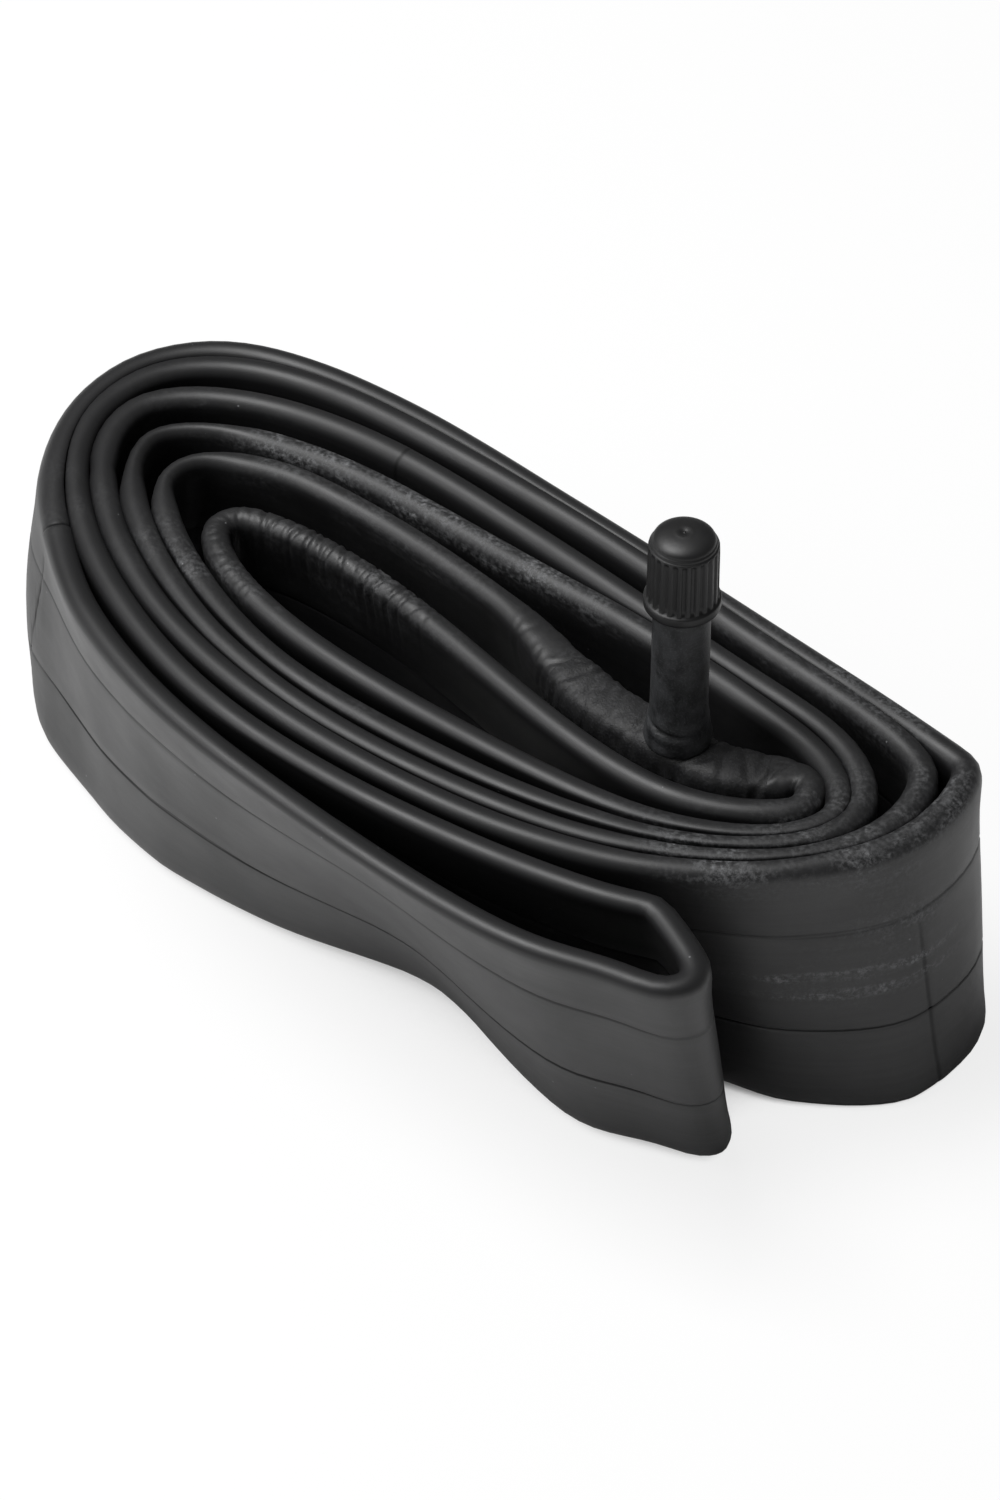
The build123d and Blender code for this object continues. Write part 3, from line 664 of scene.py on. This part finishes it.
def jacketShape(radius, angle, height):
    if radius < jacket["bore"] or height < jacket["footTop"]:
        return radius, height
    turn = turnFrom(angle, jacket["foldFacing"])
    window = math.exp(-(turn / jacket["foldSpan"]) ** 2)
    level = jacket["foldHeight"] - jacket["foldRise"] * turn
    fold = math.exp(-((height - level) / jacket["foldHalf"]) ** 2)
    lip = math.exp(-((height - level + jacket["lipBelow"]) / jacket["lipHalf"]) ** 2)
    radius -= jacket["waist"] * smoothstep(*jacket["waistFrom"], height)
    radius -= jacket["foldDeep"] * window * fold
    radius += jacket["lip"] * window * lip
    spot = Vector((math.cos(angle) * 1.3, math.sin(angle) * 1.3, height / 3.1))
    radius += jacket["wobble"] * noise.noise(spot)
    for facing in (jacket["seamFacing"], jacket["seamFacing"] - math.pi):
        ridge = math.exp(-(turnFrom(angle, facing) / jacket["seamHalf"]) ** 2)
        radius += jacket["seam"] * ridge * smoothstep(*jacket["seamFrom"], height)
    return min(radius, jacket["widest"]), height


mesh, bm = lathed("stemJacket", jacketProfile, jacket["steps"], jacketShape)
jacketObject = shown("stemJacket", mesh, bm, "tube", "stem_rubber", "stem_jacket")

# The turned brass insert with its rolled thread, a real helix at 32 threads to the inch.
insert = {"radius": 3.85, "pitch": 25.4 / 32, "deep": 0.42, "from": 69.3, "fadeFrom": 69.5, "to": 77.95,
          "rows": 100, "steps": 64}
insertProfile = [(1, 48.42), (3.05, 48.42), (3.05, 68.95), (3.4, 69.28)]
for k in range(insert["rows"]):
    height = insert["from"] + (insert["to"] - insert["from"]) * k / insert["rows"]
    insertProfile.append((insert["radius"], height))
insertProfile += [(insert["radius"], insert["to"]), (3.42, 78.4), (2.78, 78.4), (2.65, 78.28),
                  (2.65, 69.12), (1.95, 67.72), (1.95, 58.45), (1, 57.9)]


def threadShape(radius, angle, height):
    if radius > insert["radius"] - 0.01:
        phase = (height / insert["pitch"] - angle / math.tau) % 1
        flank = smoothstep(0.06, 0.44, phase) * smoothstep(0.94, 0.56, phase)
        fade = smoothstep(insert["fadeFrom"] - 0.2, insert["fadeFrom"] + 0.5, height)
        radius -= insert["deep"] * flank * fade
    return radius, height


mesh, bm = lathed("stemInsert", insertProfile, insert["steps"], threadShape, closedProfile=True)
insertObject = shown("stemInsert", mesh, bm, "tube", "brass", "stem_insert")

# The moulded cap: smooth collar, straight ribs, a stepped shoulder and a dome with its gate mark.
cap = {"ribs": 24, "ribDeep": 0.36, "ribFrom": 70.4, "ribTo": 78.6, "steps": 240, "domeRadius": 4.0,
       "domeFoot": 79.55, "domeRise": 1.3, "domeRows": 16}
capProfile = [
    (0, 79.2), (2, 79.2), (3.86, 79.2), (3.93, 79.1), (3.93, 74), (3.96, 69.75), (4.12, 69.3),
    (4.2, 69.02), (4.32, 68.89), (4.5, 68.87), (4.74, 68.88), (4.86, 68.94), (4.93, 69.07),
    (4.95, 69.37), (4.95, 69.87), (4.93, 70.07), (4.87, 70.2), (4.76, 70.27), (4.66, 70.33),
    (4.6, 70.4), (4.58, 70.53), (4.58, 70.8), (4.58, 71.4), (4.57, 72.5), (4.56, 73.6),
    (4.55, 74.8), (4.54, 76), (4.53, 77.2), (4.52, 77.9), (4.51, 78.2), (4.5, 78.45), (4.48, 78.65),
    (4.43, 78.8), (4.36, 78.88), (4.28, 78.92), (4.24, 78.98), (4.22, 79.08), (4.21, 79.2),
    (4.17, 79.3), (4.1, 79.36), (4.04, 79.42), (4.02, 79.52),
]
for k in range(1, cap["domeRows"]):
    angle = math.pi / 2 * (1 - k / cap["domeRows"])
    height = cap["domeFoot"] + cap["domeRise"] * math.cos(angle)
    capProfile.append((cap["domeRadius"] * math.sin(angle) ** 0.95, height))
domeTop = cap["domeFoot"] + cap["domeRise"]
capProfile += [(0.28, domeTop), (0.12, domeTop), (0, domeTop)]


def capShape(radius, angle, height):
    if radius > 4.2 and cap["ribFrom"] - 0.2 < height < cap["ribTo"] + 0.3:
        phase = abs((angle * cap["ribs"] / math.tau) % 1 - 0.5) * 2
        groove = smoothstep(0.62, 0.36, phase)
        ends = smoothstep(cap["ribFrom"] - 0.1, cap["ribFrom"] + 0.35, height)
        ends *= smoothstep(cap["ribTo"] + 0.15, cap["ribTo"] - 0.35, height)
        radius -= cap["ribDeep"] * groove * ends
    if height > 80.2:  # a low ring and the gate's dimple
        height += 0.1 * math.exp(-((radius - 0.75) / 0.2) ** 2) - 0.2 * math.exp(-(radius / 0.6) ** 2)
    return radius, height


mesh, bm = lathed("capShell", capProfile, cap["steps"], capShape)
capObject = shown("dustCap", mesh, bm, "cap", "cap_plastic", "dust_cap")


def perMm(size):
    # texture scale for features of that many mm, on coordinates in metres
    return 1000 / size


def mathNode(tree, operation, a, b=None, clamp=False):
    node = tree.nodes.new("ShaderNodeMath")
    node.operation, node.use_clamp = operation, clamp
    for socket, value in zip(node.inputs, (a, b)):
        if isinstance(value, bpy.types.NodeSocket):
            tree.links.new(value, socket)
        elif value is not None:
            socket.default_value = value
    return node.outputs[0]


def noiseNode(tree, vector, scale, detail=4, roughness=0.55):
    settings = {"Scale": scale, "Detail": detail, "Roughness": roughness}
    return addNode(tree, "ShaderNodeTexNoise", settings, Vector=vector).outputs["Fac"]


def scaledNode(tree, vector, scale):
    return addNode(tree, "ShaderNodeMapping", {"Scale": scale}, Vector=vector).outputs[0]


def rangeNode(tree, value, fromLow, fromHigh, toLow=0.0, toHigh=1.0):
    settings = {"From Min": fromLow, "From Max": fromHigh, "To Min": toLow, "To Max": toHigh}
    return addNode(tree, "ShaderNodeMapRange", settings, Value=value).outputs[0]


def awayFrom(tree, value, middle):
    return mathNode(tree, "ABSOLUTE", mathNode(tree, "SUBTRACT", value, middle))


def mixColours(tree, share, a, b):
    node = addNode(tree, "ShaderNodeMix", {"data_type": "RGBA"})
    for index, value in ((0, share), (6, a), (7, b)):
        if isinstance(value, bpy.types.NodeSocket):
            tree.links.new(value, node.inputs[index])
        else:
            node.inputs[index].default_value = linear(value) if isinstance(value, str) else value
    return node.outputs[2]


def bumped(tree, shader, height, strength, distance):
    settings = {"Strength": strength, "Distance": distance * mm}
    bump = addNode(tree, "ShaderNodeBump", settings, Height=height)
    tree.links.new(bump.outputs[0], shader.inputs["Normal"])


# Butyl inner tube, extruded and cured in a steel mould: satin black with a soft sheen on the
# folds, faint drawn streaks along it, two mould lines, and talc left dusty where it was rubbed.
# The near-black "line" colour is painted shade: it darkens the grooves of the mould lines, the
# splice and the press marks.
butylLook = {"colour": "#161617", "worn": "#202021", "line": "#090909", "talc": "#8b8c8e", "dusty": 0.62,
             "rough": (0.43, 0.53), "bump": 0.5, "bumpDeep": 0.05}
butylSizes = {"grain": 0.22, "cloud": 14, "crumbs": 0.7, "specks": 5.5}  # mm
butylStretch = {"streaks": (5, 100, 1), "smears": (14, 55, 1)}  # along the run, down the walls
# The talc's two thin rows on the walls, where fingers slid along: how far down, how wide (mm),
# how much of it is gone beside them, and where that sets in.
wallRows = {"depths": (20.4, 23.7), "half": (0.3, 1.2), "gone": 0.9, "from": (12, 16)}
butyl, tree, shader = newMaterial("butylCuredInMould")
place = addNode(tree, "ShaderNodeTexCoord").outputs["Object"]
runUv = addNode(tree, "ShaderNodeUVMap", {"uv_map": "run"}).outputs[0]
split = addNode(tree, "ShaderNodeSeparateXYZ", Vector=runUv)
alongMm = mathNode(tree, "MULTIPLY", split.outputs[0], 100)
depthMm = mathNode(tree, "MULTIPLY", split.outputs[1], 100)
streaks = noiseNode(tree, scaledNode(tree, runUv, butylStretch["streaks"]), 0.9, 5, 0.6)
grain = noiseNode(tree, place, perMm(butylSizes["grain"]), 3, 0.6)
cloud = noiseNode(tree, place, perMm(butylSizes["cloud"]), 4, 0.55)
crumbs = noiseNode(tree, place, perMm(butylSizes["crumbs"]), 6, 0.75)
smears = noiseNode(tree, scaledNode(tree, runUv, butylStretch["smears"]), 1, 4, 0.6)
talcShare = addNode(tree, "ShaderNodeAttribute", {"attribute_name": "talc"}).outputs["Fac"]
dust = mathNode(tree, "MULTIPLY", rangeNode(tree, crumbs, 0.44, 0.68), rangeNode(tree, cloud, 0.35, 0.6))
dust = mathNode(tree, "MULTIPLY", dust, rangeNode(tree, smears, 0.42, 0.6, 0.25, 1.25))
rows = 0.0
for middle in wallRows["depths"]:
    row = rangeNode(tree, awayFrom(tree, depthMm, middle), *wallRows["half"], 1.0, 0.0)
    rows = mathNode(tree, "ADD", rows, row)
bare = mathNode(tree, "SUBTRACT", wallRows["gone"], rows)
bare = mathNode(tree, "MULTIPLY", rangeNode(tree, depthMm, *wallRows["from"]), bare)
dust = mathNode(tree, "MULTIPLY", dust, mathNode(tree, "SUBTRACT", 1, bare, clamp=True))
dust = mathNode(tree, "MULTIPLY", dust, talcShare, clamp=True)
# The grooves of the mould lines, the splice and the press marks: a bump, less specular, and painted
# shade in the colour.
groovesAndShade = 0.0
for middle, strength in zip(lineDepths, (0.4, 1.0)):
    mark = rangeNode(tree, awayFrom(tree, depthMm, middle), 0.1, 0.35, strength, 0.0)
    groovesAndShade = mathNode(tree, "ADD", groovesAndShade, mark)
for at, skew, deep, start in splices:
    slant = mathNode(tree, "MULTIPLY", depthMm, skew / tube["width"])
    gap = awayFrom(tree, alongMm, mathNode(tree, "ADD", slant, at))
    reached = rangeNode(tree, depthMm, start - splice["before"], start + splice["after"])
    mark = mathNode(tree, "MULTIPLY", rangeNode(tree, gap, 0.1, 0.4, deep * 4, 0.0), reached)
    groovesAndShade = mathNode(tree, "ADD", groovesAndShade, mark)
settings = {"Scale": perMm(butylSizes["specks"]), "Randomness": 1.0}
specks = addNode(tree, "ShaderNodeTexVoronoi", settings, Vector=place).outputs["Distance"]
speck = rangeNode(tree, specks, 0.018, 0.03, 1.0, 0.0)
base = mixColours(tree, rangeNode(tree, streaks, 0.35, 0.75), butylLook["colour"], butylLook["worn"])
# Painted shade: the grooves are darkened towards the near-black line colour.
base = mixColours(tree, mathNode(tree, "MULTIPLY", groovesAndShade, 0.7), base, butylLook["line"])
dusty = mathNode(tree, "MULTIPLY", dust, butylLook["dusty"], clamp=True)
base = mixColours(tree, dusty, base, butylLook["talc"])
base = mixColours(tree, mathNode(tree, "MULTIPLY", speck, 0.5), base, butylLook["talc"])
tree.links.new(base, shader.inputs["Base Color"])
rough = rangeNode(tree, cloud, 0.3, 0.7, *butylLook["rough"])
rough = mathNode(tree, "ADD", rough, mathNode(tree, "MULTIPLY", dust, 0.4))
tree.links.new(rough, shader.inputs["Roughness"])
glint = mathNode(tree, "SUBTRACT", 0.5, mathNode(tree, "MULTIPLY", groovesAndShade, 0.4), clamp=True)
tree.links.new(glint, shader.inputs["Specular IOR Level"])
height = mathNode(tree, "MULTIPLY", grain, 0.5)
height = mathNode(tree, "ADD", height, mathNode(tree, "MULTIPLY", streaks, 0.5))
height = mathNode(tree, "SUBTRACT", height, mathNode(tree, "MULTIPLY", groovesAndShade, 1.5))
bumped(tree, shader, height, butylLook["bump"], butylLook["bumpDeep"])
tubeMesh.materials.append(butyl)


def plainRubber(name, look):
    # blotches of a worn colour, fine grain and perhaps dust in it; sizes in mm
    material, tree, shader = newMaterial(name)
    place = addNode(tree, "ShaderNodeTexCoord").outputs["Object"]
    cloud = noiseNode(tree, place, perMm(look["cloud"]), 5, 0.6)
    grain = noiseNode(tree, place, perMm(look["grain"]), 4, 0.65)
    base = mixColours(tree, rangeNode(tree, cloud, 0.38, 0.66), look["colour"], look["worn"])
    if "dust" in look:
        share = mathNode(tree, "MULTIPLY", rangeNode(tree, grain, 0.52, 0.72), look["dusty"])
        base = mixColours(tree, share, base, look["dust"])
    tree.links.new(base, shader.inputs["Base Color"])
    tree.links.new(rangeNode(tree, cloud, 0.3, 0.7, *look["rough"]), shader.inputs["Roughness"])
    height = mathNode(tree, "ADD", grain, mathNode(tree, "MULTIPLY", cloud, 0.6))
    bumped(tree, shader, height, look["bump"], look["bumpDeep"])
    return material


# The patch was buffed before it was vulcanised on: rough, matt and grey where the dust sits.
patchLook = {"colour": "#121213", "worn": "#1e1e1f", "rough": (0.5, 0.68), "cloud": 3.0, "grain": 0.4,
             "bump": 0.9, "bumpDeep": 0.12, "dust": "#55565a", "dusty": 0.3}
patchObject.data.materials.append(plainRubber("patchBuffedButyl", patchLook))
# The stem jacket is compression moulded: blotchy bloom on paler rubber than the tube's.
jacketLook = {"colour": "#1a1b1c", "worn": "#363739", "rough": (0.4, 0.6), "cloud": 2.2, "grain": 0.3,
              "bump": 0.6, "bumpDeep": 0.08, "dust": "#56575a", "dusty": 0.45}
jacketObject.data.materials.append(plainRubber("stemMouldedRubber", jacketLook))
# The cap is injection moulded: darker and smoother than the rubber it stands on.
capLook = {"colour": "#0a0a0b", "worn": "#121213", "rough": (0.42, 0.52), "cloud": 6.0, "grain": 0.5,
           "bump": 0.25, "bumpDeep": 0.03}
capObject.data.materials.append(plainRubber("capInjectedPlastic", capLook))


def turnedMetal(name, colour, dull, roughness):
    # fine turning rings from the lathe, with dull patches where it has been handled
    material, tree, shader = newMaterial(name)
    place = addNode(tree, "ShaderNodeTexCoord").outputs["Object"]
    marks = noiseNode(tree, scaledNode(tree, place, (1, 1, 12)), perMm(1.5), 4, 0.6)
    cloud = noiseNode(tree, place, perMm(2.5), 4, 0.6)
    base = mixColours(tree, rangeNode(tree, cloud, 0.4, 0.7), colour, dull)
    tree.links.new(base, shader.inputs["Base Color"])
    shader.inputs["Metallic"].default_value = 1
    rough = rangeNode(tree, marks, 0.3, 0.7, roughness - 0.08, roughness + 0.1)
    tree.links.new(rough, shader.inputs["Roughness"])
    bumped(tree, shader, marks, 0.4, 0.03)
    return material


brass = turnedMetal("brassTurned", "#c09a4e", "#8d6f38", 0.3)
pinBrass = turnedMetal("pinBrassDrawn", "#c9aa66", "#94783f", 0.26)
springSteel = turnedMetal("springSteelWound", "#b8babd", "#85878a", 0.24)
gasketLook = {"colour": "#8a1f17", "worn": "#6f1712", "rough": (0.4, 0.5), "cloud": 2.0, "grain": 0.3,
              "bump": 0.3, "bumpDeep": 0.03}
gasketRubber = plainRubber("gasketMouldedRubber", gasketLook)
sealLook = {"colour": "#141414", "worn": "#1d1d1d", "rough": (0.45, 0.55), "cloud": 2.0, "grain": 0.3,
            "bump": 0.3, "bumpDeep": 0.03}
sealRubber = plainRubber("sealPressedRubber", sealLook)
insertObject.data.materials.append(brass)
for node, material in (("core_plug", brass), ("core_barrel", brass), ("barrel_gasket", gasketRubber),
                       ("core_pin", pinBrass), ("core_cup", brass), ("cup_seal", sealRubber),
                       ("core_spring", springSteel), ("cap_seal", sealRubber)):
    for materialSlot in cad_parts[node].material_slots:
        materialSlot.material = material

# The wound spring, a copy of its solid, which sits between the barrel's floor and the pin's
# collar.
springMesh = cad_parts["core_spring"].data.copy()
bm = bmesh.new()
bm.from_mesh(springMesh)
bmesh.ops.remove_doubles(bm, verts=bm.verts, dist=1e-6)
springObject = shown("coreSpring", springMesh, bm, "tube", "spring_steel", "core_spring")
for face in springMesh.polygons:
    face.use_smooth = False
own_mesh(springObject)

# The floor: pale paper that the camera sees as white, and grey down between the windings, where
# little light gets.
paperLook = {"size": 3.0, "colour": "#f4f4f4", "rough": 0.9, "glint": 0.1, "glow": 0.82,
             "shutOff": (0.03, 0.3), "reach": 0.05}
floorMesh = bpy.data.meshes.new("floor")
bm = bmesh.new()
bmesh.ops.create_grid(bm, x_segments=1, y_segments=1, size=paperLook["size"] / 2)
bmesh.ops.translate(bm, verts=bm.verts, vec=(0, 0, floorHeight))
bm.to_mesh(floorMesh)
bm.free()
floor = bpy.data.objects.new("floor", floorMesh)
scene.collection.objects.link(floor)
paper, tree, shader = newMaterial("palePaper")
shader.inputs["Base Color"].default_value = linear(paperLook["colour"])
shader.inputs["Roughness"].default_value = paperLook["rough"]
shader.inputs["Specular IOR Level"].default_value = paperLook["glint"]
glow = addNode(tree, "ShaderNodeEmission")
seen = addNode(tree, "ShaderNodeLightPath").outputs["Is Camera Ray"]
openness = addNode(tree, "ShaderNodeAmbientOcclusion", {"Distance": paperLook["reach"]}).outputs["AO"]
glowing = rangeNode(tree, openness, *paperLook["shutOff"], 0.0, paperLook["glow"])
blendIn = addNode(tree, "ShaderNodeMixShader")
tree.links.new(mathNode(tree, "MULTIPLY", seen, glowing), blendIn.inputs[0])
tree.links.new(shader.outputs[0], blendIn.inputs[1])
tree.links.new(glow.outputs[0], blendIn.inputs[2])
tree.links.new(blendIn.outputs[0], tree.nodes["Material Output"].inputs[0])
floorMesh.materials.append(paper)

# A white backdrop for the camera, and a dim even light on everything else.
backdrop = {"seen": 1.0, "light": 0.16}
world = bpy.data.worlds.new("studio")
scene.world = world
world.use_nodes = True
tree = world.node_tree
tree.nodes.clear()
output = addNode(tree, "ShaderNodeOutputWorld")
soft = addNode(tree, "ShaderNodeBackground", {"Color": (1, 1, 1, 1), "Strength": backdrop["light"]})
plain = addNode(tree, "ShaderNodeBackground", {"Color": (1, 1, 1, 1), "Strength": backdrop["seen"]})
seen = addNode(tree, "ShaderNodeLightPath")
pick = addNode(tree, "ShaderNodeMixShader")
tree.links.new(seen.outputs["Is Camera Ray"], pick.inputs[0])
tree.links.new(soft.outputs[0], pick.inputs[1])
tree.links.new(plain.outputs[0], pick.inputs[2])
tree.links.new(pick.outputs[0], output.inputs[0])


def softLamp(name, place, size, watts, target=(0, 0, 0.03)):
    light = bpy.data.lights.new(name, "AREA")
    light.shape = "SQUARE"
    light.size = size
    light.energy = watts
    lamp = bpy.data.objects.new(name, light)
    lamp.location = place
    lamp.rotation_euler = (Vector(target) - Vector(place)).to_track_quat("-Z", "Y").to_euler()
    scene.collection.objects.link(lamp)


softLamp("leftWindow", (-0.55, -0.6, 0.6), 0.55, 2.7)
softLamp("topSheet", (-0.3, -0.15, 0.95), 0.48, 9.5)
print("stage: floor, backdrop and two lamps")

lens = {"azimuth": 38, "elevation": 44, "distance": 0.7, "focal": 124, "sensor": 36,
        "target": (-0.00001, 0.00814, 0.02)}
camera = bpy.data.objects.new("camera", bpy.data.cameras.new("camera"))
camera.data.lens = lens["focal"]
camera.data.sensor_width = lens["sensor"]
camera.data.clip_start, camera.data.clip_end = 0.01, 10
a, e = math.radians(lens["azimuth"]), math.radians(lens["elevation"])
back = Vector((math.sin(a) * math.cos(e), -math.cos(a) * math.cos(e), math.sin(e)))
camera.location = Vector(lens["target"]) + back * lens["distance"]
camera.rotation_mode = "QUATERNION"
camera.rotation_quaternion = (-back).to_track_quat("-Z", "Y")
scene.collection.objects.link(camera)
scene.camera = camera
scene.view_settings.view_transform = "Standard"
